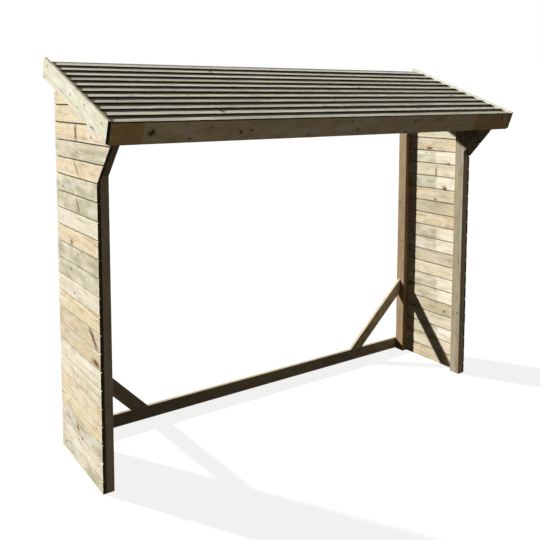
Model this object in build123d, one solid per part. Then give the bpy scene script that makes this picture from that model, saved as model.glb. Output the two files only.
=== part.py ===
from build123d import *
import math
import os

"""A softwood log store: two boarded end walls, a slatted lean-to roof and an open front and back.

Each wall is a front and a back post with horizontal rebated boards nailed to the outer side.
The upper boards run forward over a leaning bracket on each front post.
The roof falls to the front and is closed by a bargeboard at each end and a fascia between them.
Under its back edge a trimmer joins the rafters and stands on a rail between the back posts.
A rail low down at the back and two diagonal braces hold the frame square.
"""

# Driving dimensions, in mm

# Walls
WALL_SPAN = 2450.0
WALL_DEPTH = 554.0
BOARD_THICKNESS = 15.0
BOARD_PITCH = 84.0
FIRST_JOINT_HEIGHT = 62.0
BOARD_REBATE = 16.0
BOARD_LIP_THICKNESS = 7.0
BOARD_GAP = 5.0
BOARD_CLEARANCE = 0.5
BOARD_LEAN_DROP = 354.5
BOARD_FASCIA_GAP = 3.0

# Posts
POST_WIDTH = 40.0
POST_DEPTH = 68.0

# Leaning brackets on the front posts
BRACKET_SETBACK = 32.0
BRACKET_WIDTH = 70.0

# Roof
ROOF_PITCH_ANGLE = 19.7
ROOF_BACK_Z = 1972.0
ROOF_BACK_INSET = 23.0
ROOF_FRONT_OVERHANG = 269.0
ROOF_SIDE_OVERHANG = 52.0
BARGEBOARD_WIDTH = 100.0
BARGEBOARD_THICKNESS = 14.0
FASCIA_WIDTH = 96.0
FASCIA_THICKNESS = 16.0
FASCIA_DROP = 10.0
SLAT_COUNT = 11
SLAT_BACK_SETBACK = 22.0
SLAT_FRONT_THICKNESS = 17.0
SLAT_BACK_THICKNESS = 8.5
LAST_SLAT_BACK_THICKNESS = 4.5
SLAT_LAP = 12.0
SLAT_RECESS = 5.0
SLAT_CLEARANCE = 0.5
RAFTER_WIDTH = 38.0
RAFTER_HEIGHT = 70.0
TRIMMER_THICKNESS = 22.0

# Cross members
REAR_RAIL_THICKNESS = 22.0
HEADER_HEIGHT = 70.0
HEADER_THICKNESS = 40.0
REAR_TOP_RAIL_HEIGHT = 95.0
REAR_TOP_RAIL_THICKNESS = 40.0
REAR_RAIL_HEIGHT = 71.0
REAR_RAIL_LIFT = 4.0
BRACE_WIDTH = 72.0
BRACE_THICKNESS = 20.0
BRACE_REACH = 480.0
BRACE_HEAD_HEIGHT = 507.0
BRACE_HEAD_INSET = 14.0

# Derived sizes
SLOPE = math.radians(ROOF_PITCH_ANGLE)
SLOPE_Y = -math.cos(SLOPE)
SLOPE_Z = -math.sin(SLOPE)
NORMAL_Y = -math.sin(SLOPE)
NORMAL_Z = math.cos(SLOPE)
ROOF_BACK_Y = WALL_DEPTH - ROOF_BACK_INSET
ROOF_LENGTH = (ROOF_BACK_Y + ROOF_FRONT_OVERHANG) / NORMAL_Z
HALF_SPAN = WALL_SPAN / 2
POST_OUTER = HALF_SPAN - BOARD_THICKNESS
POST_INNER = POST_OUTER - POST_WIDTH
SLAT_UNDERSIDE = -(SLAT_RECESS + SLAT_FRONT_THICKNESS)
RAFTER_UNDERSIDE = SLAT_UNDERSIDE - RAFTER_HEIGHT
BARGEBOARD_INNER = HALF_SPAN + ROOF_SIDE_OVERHANG - BARGEBOARD_THICKNESS
FASCIA_BACK = ROOF_LENGTH - FASCIA_THICKNESS
FRONT_REACH = -ROOF_FRONT_OVERHANG
BACK_REACH = max(ROOF_BACK_Y - BARGEBOARD_WIDTH * NORMAL_Y, WALL_DEPTH + REAR_RAIL_THICKNESS)
CENTRE_Y = (FRONT_REACH + BACK_REACH) / 2


def roof_point(along, height):
    """A point in the side view, given its distance down the slope and its height above it."""
    y = ROOF_BACK_Y + along * SLOPE_Y + height * NORMAL_Y
    z = ROOF_BACK_Z + along * SLOPE_Z + height * NORMAL_Z
    return (y, z)


def roof_height_at(y, height):
    """The level of a plane parallel to the roof, at depth y."""
    return ROOF_BACK_Z + height / NORMAL_Z + (y - ROOF_BACK_Y) * SLOPE_Z / SLOPE_Y


def top_under_slats(y_from, y_to):
    """The top of an upright piece, from its back to its front.

    It follows the underside of the slats, and is cut level where it stands out behind them.
    """
    edge_y, edge_z = roof_point(SLAT_BACK_SETBACK, SLAT_UNDERSIDE)
    back = (y_to, min(roof_height_at(y_to, SLAT_UNDERSIDE), edge_z))
    front = (y_from, min(roof_height_at(y_from, SLAT_UNDERSIDE), edge_z))
    crosses = y_from < edge_y < y_to
    return [back, (edge_y, edge_z), front] if crosses else [back, front]


def side_prism(points, x_from, x_to):
    """A solid with the given side-view outline, from one x to the other."""
    outline = [(x_from, y - CENTRE_Y, z) for y, z in points]
    face = Face(Wire.make_polygon([Vector(*p) for p in outline], close=True))
    return Solid.extrude(face, Vector(x_to - x_from, 0, 0))


def front_prism(points, y_from, y_to):
    """A solid with the given front-view outline, from one depth to the other."""
    outline = [(x, y_from - CENTRE_Y, z) for x, z in points]
    face = Face(Wire.make_polygon([Vector(*p) for p in outline], close=True))
    return Solid.extrude(face, Vector(0, y_to - y_from, 0))


def save(shape, node):
    """Write one sub-part."""
    shape.label = node
    export_step(shape, f"parts/{node}.step")


def mirrored(shape):
    """The same part for the other end of the store."""
    pieces = [piece.mirror(Plane.YZ) for piece in shape.solids()]
    return pieces[0] if len(pieces) == 1 else Compound(children=pieces)


def board_joint(number):
    """The level of the middle of the open joint above the board of this number."""
    return FIRST_JOINT_HEIGHT + BOARD_PITCH * (number - 1)


def board_profile(number):
    """The section of one rebated board of the right wall, as x and z pairs.

    Its lip hangs down outside the tongue of the board below.
    A gap is left at the end of each, for the boards to swell.
    """
    outer = HALF_SPAN
    inner = HALF_SPAN - BOARD_THICKNESS
    lip = outer - BOARD_LIP_THICKNESS
    tongue = lip - BOARD_CLEARANCE
    top = board_joint(number) - BOARD_GAP / 2
    if number == 1:
        lower = [(inner, 0.0), (outer, 0.0)]
    else:
        bottom = board_joint(number - 1) + BOARD_GAP / 2
        shoulder = bottom + BOARD_REBATE
        lower = [(inner, shoulder), (lip, shoulder), (lip, bottom), (outer, bottom)]
    upper = [
        (outer, top),
        (tongue, top),
        (tongue, top + BOARD_REBATE),
        (inner, top + BOARD_REBATE),
    ]
    return lower + upper


def lean_head():
    """Where the slanting front of a wall meets the slats, just behind the fascia."""
    return roof_point(FASCIA_BACK - BOARD_FASCIA_GAP, SLAT_UNDERSIDE)


def lean_start():
    """The level at which the front of a wall starts to slant forward."""
    return roof_height_at(0, SLAT_UNDERSIDE) - BOARD_LEAN_DROP


def lean_rise():
    """How far the slanting front climbs for each unit that it comes forward."""
    head_y, head_z = lean_head()
    return (head_z - lean_start()) / -head_y


def wall_outline():
    """The side view of an end wall, with its slanting front and sloping top."""
    head_y, _ = lean_head()
    top = top_under_slats(head_y, WALL_DEPTH)
    return [(0.0, 0.0), (WALL_DEPTH, 0.0), *top, (0.0, lean_start())]


def board_count():
    """How many boards it takes to reach the highest point of a wall."""
    wall_top = max(z for _, z in wall_outline())
    lips = wall_top - FIRST_JOINT_HEIGHT - BOARD_GAP / 2
    return math.ceil(lips / BOARD_PITCH) + 1


def wall_board(number):
    """One board of the right wall, cut to the outline of the wall."""
    bar = front_prism(board_profile(number), FRONT_REACH, WALL_DEPTH)
    outline = side_prism(wall_outline(), HALF_SPAN - 2 * BOARD_THICKNESS, HALF_SPAN + BOARD_THICKNESS)
    return (bar & outline).solids()[0]


def board_group(first, last):
    """Several boards of the right wall as one part made of separate pieces."""
    return Compound(children=[wall_board(number) for number in range(first, last + 1)])


def post(y_from, y_to):
    """A right-hand post with its head cut to fit under the slats."""
    points = [(y_from, 0.0), (y_to, 0.0), *top_under_slats(y_from, y_to)]
    return side_prism(points, POST_INNER, POST_OUTER)


def front_bracket():
    """The right-hand leaning bracket, planted on the face of the front post."""
    foot = lean_start() + BRACKET_SETBACK
    shoulder = foot + BRACKET_WIDTH * math.hypot(1, lean_rise())
    head = roof_height_at(0, SLAT_UNDERSIDE)
    closing = lean_rise() + SLOPE_Z / SLOPE_Y
    front_head_y = -(head - foot) / closing
    back_head_y = -(head - shoulder) / closing
    points = [
        (0.0, foot),
        (0.0, shoulder),
        (back_head_y, roof_height_at(back_head_y, SLAT_UNDERSIDE)),
        (front_head_y, roof_height_at(front_head_y, SLAT_UNDERSIDE)),
    ]
    return side_prism(points, POST_INNER, POST_OUTER)


def roof_slab(along_from, along_to, height_from, height_to, x_from, x_to):
    """A rectangular piece laid square to the slope of the roof."""
    points = [
        roof_point(along_from, height_from),
        roof_point(along_to, height_from),
        roof_point(along_to, height_to),
        roof_point(along_from, height_to),
    ]
    return side_prism(points, x_from, x_to)


def slat_back_thickness(number):
    """How thick a slat is at its back, where the slat behind laps over it."""
    return LAST_SLAT_BACK_THICKNESS if number == SLAT_COUNT else SLAT_BACK_THICKNESS


def slat(number):
    """One weatherboard of the roof, counted from the back.

    Each slat rises to a thick front edge, whose lip laps over the thin back of the next.
    The last slat is thinner and ends level with the top of the fascia.
    """
    pitch = (FASCIA_BACK - SLAT_BACK_SETBACK) / SLAT_COUNT
    start = SLAT_BACK_SETBACK + (number - 1) * pitch
    end = start + pitch
    base = SLAT_UNDERSIDE
    tongue_top = base + slat_back_thickness(number)
    back = [
        roof_point(start, base),
        roof_point(start, tongue_top),
        roof_point(start + SLAT_LAP, tongue_top),
    ]
    if number == SLAT_COUNT:
        front = [
            roof_point(end, -FASCIA_DROP),
            roof_point(end, base),
        ]
    else:
        lip_end = end + SLAT_LAP - SLAT_CLEARANCE
        lip_under = base + slat_back_thickness(number + 1) + SLAT_CLEARANCE
        front = [
            roof_point(lip_end, base + SLAT_FRONT_THICKNESS),
            roof_point(lip_end, lip_under),
            roof_point(end - SLAT_CLEARANCE, lip_under),
            roof_point(end - SLAT_CLEARANCE, base),
        ]
    return side_prism(back + front, -BARGEBOARD_INNER, BARGEBOARD_INNER)


def rafter(centre_x):
    """A rafter under the slats, from the trimmer to the fascia."""
    x_from = centre_x - RAFTER_WIDTH / 2
    x_to = centre_x + RAFTER_WIDTH / 2
    start = SLAT_BACK_SETBACK + TRIMMER_THICKNESS
    return roof_slab(start, FASCIA_BACK, RAFTER_UNDERSIDE, SLAT_UNDERSIDE, x_from, x_to)


def rear_trimmer():
    """The board that joins the back ends of the rafters under the first slat."""
    end = SLAT_BACK_SETBACK + TRIMMER_THICKNESS
    return roof_slab(SLAT_BACK_SETBACK, end, RAFTER_UNDERSIDE, SLAT_UNDERSIDE, -POST_INNER, POST_INNER)


def bearer(y_from, y_to, height):
    """A beam between two posts, its top cut to the underside of the rafters."""
    top_from = roof_height_at(y_from, RAFTER_UNDERSIDE)
    top_to = roof_height_at(y_to, RAFTER_UNDERSIDE)
    base = top_from - height
    points = [(y_from, base), (y_to, base), (y_to, top_to), (y_from, top_from)]
    return side_prism(points, -POST_INNER, POST_INNER)


def rear_rail():
    """The low rail across the backs of the two rear posts."""
    rail_top = REAR_RAIL_LIFT + REAR_RAIL_HEIGHT
    rail_back = WALL_DEPTH + REAR_RAIL_THICKNESS
    points = [
        (WALL_DEPTH, REAR_RAIL_LIFT),
        (rail_back, REAR_RAIL_LIFT),
        (rail_back, rail_top),
        (WALL_DEPTH, rail_top),
    ]
    return side_prism(points, -POST_OUTER, POST_OUTER)


def rear_brace():
    """The right-hand diagonal brace, from the low rail up to the inner side of the post.

    Its foot stands on the rail behind the post and its head comes forward beside the post.
    """
    foot_z = REAR_RAIL_LIFT + REAR_RAIL_HEIGHT
    foot_x = HALF_SPAN - BRACE_REACH
    rise = BRACE_HEAD_HEIGHT - foot_z
    angle = math.atan2(rise, POST_INNER - foot_x)
    foot_length = BRACE_WIDTH / math.sin(angle)
    head_length = BRACE_WIDTH / math.cos(angle)
    head_front = WALL_DEPTH - BRACE_HEAD_INSET - BRACE_THICKNESS
    lean_back = (WALL_DEPTH - head_front) / rise
    outline = [
        (foot_x, foot_z),
        (foot_x + foot_length, foot_z),
        (POST_INNER, BRACE_HEAD_HEIGHT - head_length),
        (POST_INNER, BRACE_HEAD_HEIGHT),
    ]
    front = [Vector(x, WALL_DEPTH - (z - foot_z) * lean_back - CENTRE_Y, z) for x, z in outline]
    face = Face(Wire.make_polygon(front, close=True))
    return Solid.extrude(face, Vector(0, BRACE_THICKNESS, 0))


def main():
    """Build every piece in place and write it out."""
    os.makedirs("parts", exist_ok=True)

    pairs = {
        "front_post": post(0.0, POST_DEPTH),
        "back_post": post(WALL_DEPTH - POST_DEPTH, WALL_DEPTH),
        "front_bracket": front_bracket(),
        "rear_brace": rear_brace(),
        "bargeboard": roof_slab(
            0.0, ROOF_LENGTH, -BARGEBOARD_WIDTH, 0.0,
            BARGEBOARD_INNER, BARGEBOARD_INNER + BARGEBOARD_THICKNESS,
        ),
    }
    for name, shape in pairs.items():
        save(shape, f"right_{name}")
        save(mirrored(shape), f"left_{name}")

    names = ["lower", "middle", "upper"]
    bounds = [round(board_count() * step / len(names)) for step in range(len(names) + 1)]
    for name, below, last in zip(names, bounds, bounds[1:]):
        boards = board_group(below + 1, last)
        save(boards, f"right_wall_{name}_boards")
        save(mirrored(boards), f"left_wall_{name}_boards")

    for number in range(1, SLAT_COUNT + 1):
        save(slat(number), f"roof_slat_{number:02d}")

    fascia_top = -FASCIA_DROP
    fascia = roof_slab(
        FASCIA_BACK, ROOF_LENGTH, fascia_top - FASCIA_WIDTH, fascia_top,
        -BARGEBOARD_INNER, BARGEBOARD_INNER,
    )
    save(fascia, "front_fascia")

    end_rafter = POST_INNER - RAFTER_WIDTH / 2
    names = ["left_end_rafter", "left_middle_rafter", "right_middle_rafter", "right_end_rafter"]
    for index, name in enumerate(names):
        centre = -end_rafter + 2 * end_rafter * index / (len(names) - 1)
        save(rafter(centre), name)
    save(rear_trimmer(), "rear_trimmer")

    save(bearer(0.0, HEADER_THICKNESS, HEADER_HEIGHT), "front_header")
    rail_front = WALL_DEPTH - REAR_TOP_RAIL_THICKNESS
    save(bearer(rail_front, WALL_DEPTH, REAR_TOP_RAIL_HEIGHT), "rear_top_rail")
    save(rear_rail(), "rear_bottom_rail")


if __name__ == "__main__":
    main()
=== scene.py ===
"""A softwood log store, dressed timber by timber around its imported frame.

Every timber is shaped with Blender's own modelling tools in the place that the frame gives it.
Each one carries its own grain direction, tone and random character as attributes on its mesh.
The finishes read those attributes, so the rings, streaks and knots follow each timber.
All lengths are in metres.
"""

import logging
import math
import random
from collections.abc import Callable, Iterator, Sequence
from contextlib import contextmanager
from dataclasses import dataclass, field
from enum import Enum

import bmesh
import bpy
import numpy as np
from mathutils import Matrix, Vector


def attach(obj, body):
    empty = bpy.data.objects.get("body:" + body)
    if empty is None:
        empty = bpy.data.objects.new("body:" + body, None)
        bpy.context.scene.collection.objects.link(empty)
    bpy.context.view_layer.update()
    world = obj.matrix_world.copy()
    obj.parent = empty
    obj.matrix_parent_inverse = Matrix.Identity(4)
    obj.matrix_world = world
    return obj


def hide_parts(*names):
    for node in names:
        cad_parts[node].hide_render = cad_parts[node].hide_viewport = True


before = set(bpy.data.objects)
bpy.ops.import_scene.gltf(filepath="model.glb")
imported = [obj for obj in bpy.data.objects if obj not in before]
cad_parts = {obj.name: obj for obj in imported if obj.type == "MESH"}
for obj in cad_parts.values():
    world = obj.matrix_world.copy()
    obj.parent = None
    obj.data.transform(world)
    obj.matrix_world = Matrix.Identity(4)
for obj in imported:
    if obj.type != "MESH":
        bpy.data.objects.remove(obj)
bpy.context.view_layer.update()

LOG = logging.getLogger("log store")

Timber = bpy.types.Object
Material = bpy.types.Material
Pair = tuple[float, float]
Triple = tuple[float, float, float]
Colour = Triple
Place = Sequence[float]
Test = Callable[[Vector, Vector], bool]
Share = Callable[[Vector, Vector], float]
PointTest = Callable[[Vector], bool]

ORIGIN = Vector((0.0, 0.0, 0.0))
ALONG_X = Vector((1.0, 0.0, 0.0))
ALONG_Y = Vector((0.0, 1.0, 0.0))
ALONG_Z = Vector((0.0, 0.0, 1.0))
WHITE = (1.0, 1.0, 1.0)
TOUCH = 1e-5  # closer than this is the same place
NEAR = 10 * TOUCH  # how far from a level a point may be and still count as on it
FACING = 0.9  # how nearly a face that counts as facing a way has to face it
END_FACING = 0.6  # the same for the end grain and the underside of a board
MIDDLE = 0.5  # what a pattern or a random number is on average
WHOLE = 9.0  # farther than any timber reaches


class Side(Enum):
    """The two ends of the store."""

    LEFT = -1
    RIGHT = 1

    @property
    def label(self) -> str:
        """The word that the frame's node names start with."""
        return self.name.lower()


class Tone(Enum):
    """How a board has taken its treatment: share of peach, share of moss, and depth of colour."""

    PALE = (0.10, 0.25, 0.00)
    CREAM = (0.35, 0.35, 0.14)
    PEACH = (0.95, 0.15, 0.22)
    TAN = (0.85, 0.35, 0.50)
    MOSS = (0.15, 1.00, 0.38)
    PLAIN = (0.40, 0.40, 0.25)
    AGED = (0.50, 0.45, 0.80)


WALL_TONES = {
    Side.LEFT: (
        "MOSS PALE MOSS PEACH PEACH CREAM PALE TAN TAN PEACH PALE MOSS "
        "MOSS PEACH PALE MOSS MOSS PEACH MOSS PEACH PEACH PEACH CREAM CREAM"
    ).split(),
    Side.RIGHT: (
        "TAN PLAIN MOSS PLAIN AGED MOSS MOSS PLAIN AGED MOSS MOSS TAN "
        "AGED TAN MOSS PLAIN MOSS TAN PLAIN TAN AGED MOSS PLAIN AGED"
    ).split(),
}
# From the back slat to the front one, the tones grow greener and darker.
SLAT_TONES = "PALE CREAM PALE MOSS CREAM MOSS CREAM MOSS MOSS CREAM MOSS".split()


@dataclass(frozen=True)
class Grain:
    """Which way a timber's grain runs."""

    along: Vector  # the direction of the grain
    across: Vector  # the direction of the timber's width
    middle: Vector  # a point on the timber's own centre line


@dataclass(frozen=True)
class Knot:
    """A knot, or a streak of dark wood, at a known place on a timber."""

    along: float  # its place along the grain
    across: float  # its place across the timber
    reach: float  # how far it reaches along the grain
    height: float  # how far it reaches across
    lean: float = 0.0  # how far it moves along the grain for each metre across


CLEAR = Knot(along=0.0, across=0.0, reach=1e-6, height=1e-6)
WALL_KNOTS = {
    Side.LEFT: {
        3: Knot(0.240, -0.005, 0.009, 0.014, -0.5),
        6: Knot(0.250, 0.009, 0.004, 0.004),
        8: Knot(0.500, -0.018, 0.034, 0.012),
        9: Knot(0.470, 0.004, 0.017, 0.036, -1.1),
        11: Knot(0.233, -0.010, 0.005, 0.005),
        12: Knot(0.191, 0.011, 0.016, 0.003),
        13: Knot(0.289, 0.014, 0.006, 0.005),
        14: Knot(0.211, -0.022, 0.013, 0.012),
        16: Knot(0.305, 0.000, 0.006, 0.026, -0.5),
        17: Knot(0.102, -0.015, 0.010, 0.004),
        18: Knot(0.295, 0.004, 0.007, 0.022, -0.7),
        19: Knot(0.310, -0.007, 0.005, 0.006),
        20: Knot(0.296, 0.003, 0.009, 0.034),
    },
    Side.RIGHT: {
        4: Knot(0.300, -0.028, 0.006, 0.006),
        14: Knot(0.297, -0.013, 0.006, 0.006),
        15: Knot(0.373, -0.014, 0.009, 0.010),
        16: Knot(0.299, 0.005, 0.004, 0.024),
        17: Knot(0.398, -0.026, 0.011, 0.011),
        18: Knot(0.239, -0.010, 0.018, 0.008),
        19: Knot(0.354, -0.033, 0.008, 0.008),
    },
}
POST_KNOT = Knot(-0.595, -0.016, 0.006, 0.006)
BRACKET_KNOT = Knot(-0.100, -0.008, 0.012, 0.010)
RIGHT_MOSS = {17: 0.289, 15: 0.298, 11: 0.305, 10: 0.310, 7: 0.320, 6: 0.325, 3: 0.336}


@dataclass(frozen=True)
class Character:
    """What makes one timber differ from the next."""

    seed: Triple  # from 0 to 1, to shift its pattern
    tone: Tone
    knot: Knot = CLEAR
    moss_reach: float = WHOLE  # how far along the grain the moss goes

    @classmethod
    def draw(
        cls,
        chance: random.Random,
        tone: Tone = Tone.PLAIN,
        knot: Knot = CLEAR,
        moss_reach: float = WHOLE,
    ) -> "Character":
        """A new character, its seed drawn from the given stream of chance."""
        return cls((chance.random(), chance.random(), chance.random()), tone, knot, moss_reach)


def stream(seed: int) -> random.Random:
    """A dataclass field that starts a stream of chance of its own."""
    return field(default_factory=lambda: random.Random(seed))


def edges_of(first: float, second: float) -> Pair:
    """The lower and the higher of two places along one axis."""
    return min(first, second), max(first, second)


class Bench:
    """The tools that shape one timber."""

    @staticmethod
    def pick(*timbers: Timber) -> None:
        """Select only these timbers, the first of them active.

        Args:
            timbers: The timbers.
        """
        bpy.ops.object.select_all(action="DESELECT")
        for timber in timbers:
            timber.select_set(True)
        bpy.context.view_layer.objects.active = timbers[0]

    @staticmethod
    @contextmanager
    def editing(
        timber: Timber,
        faces: Test | None = None,
        points: PointTest | None = None,
    ) -> Iterator[None]:
        """Edit mode on one timber, with all of it selected or only what passes a test.

        Args:
            timber: The timber.
            faces: A test of the middle and the normal of a face.
            points: A test of a point.

        Yields:
            Nothing, once, while the timber is in edit mode.
        """
        Bench.pick(timber)
        bpy.ops.object.mode_set(mode="EDIT")
        bpy.ops.mesh.select_mode(type="VERT" if points else "FACE")
        bpy.ops.mesh.select_all(action="DESELECT" if faces or points else "SELECT")
        shape = bmesh.from_edit_mesh(timber.data)
        if faces:
            for face in shape.faces:
                face.select_set(faces(face.calc_center_median(), face.normal))
        if points:
            for point in shape.verts:
                point.select_set(points(point.co))
            shape.select_flush_mode()
        bmesh.update_edit_mesh(timber.data)
        yield
        bpy.ops.object.mode_set(mode="OBJECT")

    @staticmethod
    def rename(timber: Timber, name: str) -> None:
        """Give a timber and its mesh one name."""
        timber.name = name
        timber.data.name = name

    @staticmethod
    def settle(timber: Timber) -> None:
        """Put a timber's place, turn and size into its mesh."""
        Bench.pick(timber)
        bpy.ops.object.transform_apply(location=True, rotation=True, scale=True)

    @staticmethod
    def block(name: str, low: Place, high: Place) -> Timber:
        """Saw a plain length of timber.

        Args:
            name: The timber's name.
            low: Its lowest corner.
            high: Its highest corner.

        Returns:
            The timber, with its place in its mesh.
        """
        corner, far = Vector(low), Vector(high)
        bpy.ops.object.select_all(action="DESELECT")
        bpy.ops.mesh.primitive_cube_add(size=1.0, location=(corner + far) / 2, scale=far - corner)
        timber = bpy.context.active_object
        Bench.rename(timber, name)
        Bench.settle(timber)
        return timber

    @staticmethod
    def copy(timber: Timber, name: str, move: Place, turn: Place = (1.0, 0.0, 0.0, 0.0)) -> Timber:
        """Copy a pattern to a new place.

        Args:
            timber: The pattern.
            name: The copy's name.
            move: How far the copy stands from the pattern.
            turn: How it is turned, as a quaternion.

        Returns:
            The copy, with a mesh of its own.
        """
        double = timber.copy()
        double.data = timber.data.copy()
        Bench.rename(double, name)
        double.rotation_mode = "QUATERNION"
        double.rotation_quaternion = turn
        double.location = Vector(move)
        bpy.context.scene.collection.objects.link(double)
        Bench.settle(double)
        double.rotation_mode = "XYZ"
        return double

    @staticmethod
    def discard(*timbers: Timber) -> None:
        """Take patterns off the bench."""
        for timber in timbers:
            bpy.data.objects.remove(timber)

    @staticmethod
    def cut(timber: Timber, point: Place, facing: Place) -> None:
        """Saw off what lies on the facing side of a plane and close the cut."""
        with Bench.editing(timber):
            bpy.ops.mesh.bisect(
                plane_co=point, plane_no=facing, use_fill=True, clear_outer=True, threshold=TOUCH
            )

    @staticmethod
    def score(timber: Timber, point: Place, facing: Place) -> None:
        """Mark a line round a timber without cutting it."""
        with Bench.editing(timber):
            bpy.ops.mesh.bisect(plane_co=point, plane_no=facing, threshold=TOUCH)

    @staticmethod
    def pull(timber: Timber, faces: Test, move: Place) -> None:
        """Extrude the faces that pass a test."""
        with Bench.editing(timber, faces=faces):
            bpy.ops.mesh.extrude_region_move(TRANSFORM_OT_translate={"value": move})

    @staticmethod
    def nudge(timber: Timber, points: PointTest, move: Place) -> None:
        """Move the points that pass a test."""
        with Bench.editing(timber, points=points):
            bpy.ops.transform.translate(value=move)

    @staticmethod
    def clean(timber: Timber, flat: float = 0.5) -> None:
        """Take out scored lines that shape nothing, and turn every face outwards.

        Args:
            timber: The timber.
            flat: The bend, in degrees, below which a line shapes nothing.
        """
        with Bench.editing(timber):
            bpy.ops.mesh.remove_doubles(threshold=TOUCH)
            bpy.ops.mesh.dissolve_limited(angle_limit=math.radians(flat))
            bpy.ops.mesh.normals_make_consistent(inside=False)

    @staticmethod
    def ease(timber: Timber, width: float, sharp: float = 35.0, segments: int = 2) -> None:
        """Take the sharpness off a timber's edges.

        Args:
            timber: The timber.
            width: How much is taken off.
            sharp: The bend, in degrees, above which an edge is sharp.
            segments: How many flats the rounding has.
        """
        rounding = timber.modifiers.new("eased edges", "BEVEL")
        rounding.width = width
        rounding.segments = segments
        rounding.limit_method = "ANGLE"
        rounding.angle_limit = math.radians(sharp)
        Bench.pick(timber)
        bpy.ops.object.modifier_apply(modifier=rounding.name)

    @staticmethod
    def mark(timber: Timber, grain: Grain, character: Character) -> None:
        """Write a timber's grain and character on its mesh, for the finishes to read.

        Args:
            timber: The finished shape.
            grain: The way that its grain runs.
            character: What sets it apart from its neighbours.
        """
        mesh = timber.data
        places = np.zeros(len(mesh.vertices) * 3)
        mesh.vertices.foreach_get("co", places)
        along = grain.along.normalized()
        across = grain.across.normalized()
        axes = np.array([along, across, along.cross(across)])
        own = (places.reshape(-1, 3) - np.array(grain.middle)) @ axes.T
        knot = character.knot
        marks = {
            "grain": own,
            "board": character.seed,
            "tone": character.tone.value,
            "knot": (knot.along, knot.across, knot.lean),
            "knot_reach": (knot.reach, knot.height, character.moss_reach),
        }
        for name, values in marks.items():
            layer = mesh.attributes.new(name, "FLOAT_VECTOR", "POINT")
            rows = np.broadcast_to(np.array(values, np.float32), own.shape)
            layer.data.foreach_set("vector", rows.ravel())
        # End grain is marked for its own darker colour, which painted shade deepens.
        Bench.paint(timber, "end", lambda at, facing: abs(facing.dot(along)) > END_FACING)

    @staticmethod
    def paint(timber: Timber, name: str, share: Share) -> None:
        """Write a share from 0 to 1 on every corner of every face, as a named attribute.

        Args:
            timber: The timber.
            name: The attribute's name.
            share: What the share is at a point of a face with a normal.
        """
        mesh = timber.data
        corners = [
            float(share(mesh.vertices[index].co, face.normal))
            for face in mesh.polygons
            for index in face.vertices
        ]
        layer = mesh.attributes.new(name, "FLOAT", "CORNER")
        layer.data.foreach_set("value", np.array(corners, np.float32))

    @staticmethod
    def join(name: str, timbers: Sequence[Timber], material: Material) -> Timber:
        """Make one piece of several timbers that don't touch, and let it ride with the frame.

        Args:
            name: The piece's name.
            timbers: What it is made of.
            material: Its finish.

        Returns:
            The piece.
        """
        Bench.pick(*timbers)
        if len(timbers) > 1:
            bpy.ops.object.join()
        piece = timbers[0]
        Bench.rename(piece, name)
        piece.data.materials.clear()
        piece.data.materials.append(material)
        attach(piece, "root")
        LOG.info("%s is made, with %d faces", name, len(piece.data.polygons))
        return piece


class Value:
    """A number, vector or colour on one wire of a node tree, which adds up as numbers do."""

    def __init__(self, net: "Net", socket: bpy.types.NodeSocket) -> None:
        """Take hold of one output of a node."""
        self.net = net
        self.socket = socket

    def maths(self, operation: str, *others: "Feed") -> "Value":
        """This and others in a maths node, on vectors where this is one.

        Args:
            operation: Blender's name for what the node does.
            others: What comes after this.

        Returns:
            The answer, which is a number for a length.
        """
        kind = "Math" if self.socket.type == "VALUE" else "VectorMath"
        output = 1 if operation == "LENGTH" else 0
        return self.net.add(kind, self, *others, output=output, operation=operation)

    def __add__(self, other: "Feed") -> "Value":
        """This and another added."""
        return self.maths("ADD", other)

    def __sub__(self, other: "Feed") -> "Value":
        """This less another."""
        return self.maths("SUBTRACT", other)

    def __rsub__(self, other: float) -> "Value":
        """A plain number less this."""
        return self.net.add("Math", other, self, operation="SUBTRACT")

    def __mul__(self, other: "Feed") -> "Value":
        """This times another."""
        return self.maths("MULTIPLY", other)

    def __truediv__(self, other: "Feed") -> "Value":
        """This over another."""
        return self.maths("DIVIDE", other)

    def step(self, low: "Feed", high: "Feed") -> "Value":
        """A soft step from 0 to 1 as this goes from one level to another."""
        return self.net.add("MapRange", self, low, high, interpolation_type="SMOOTHSTEP")

    def parts(self) -> list["Value"]:
        """The three parts of a vector."""
        node = self.net.add("SeparateXYZ", self).socket.node
        return [Value(self.net, socket) for socket in node.outputs]

    def beside(self, output: str) -> "Value":
        """Another output of the node that this comes from."""
        return Value(self.net, self.socket.node.outputs[output])


Feed = float | Sequence[float] | Value


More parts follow.
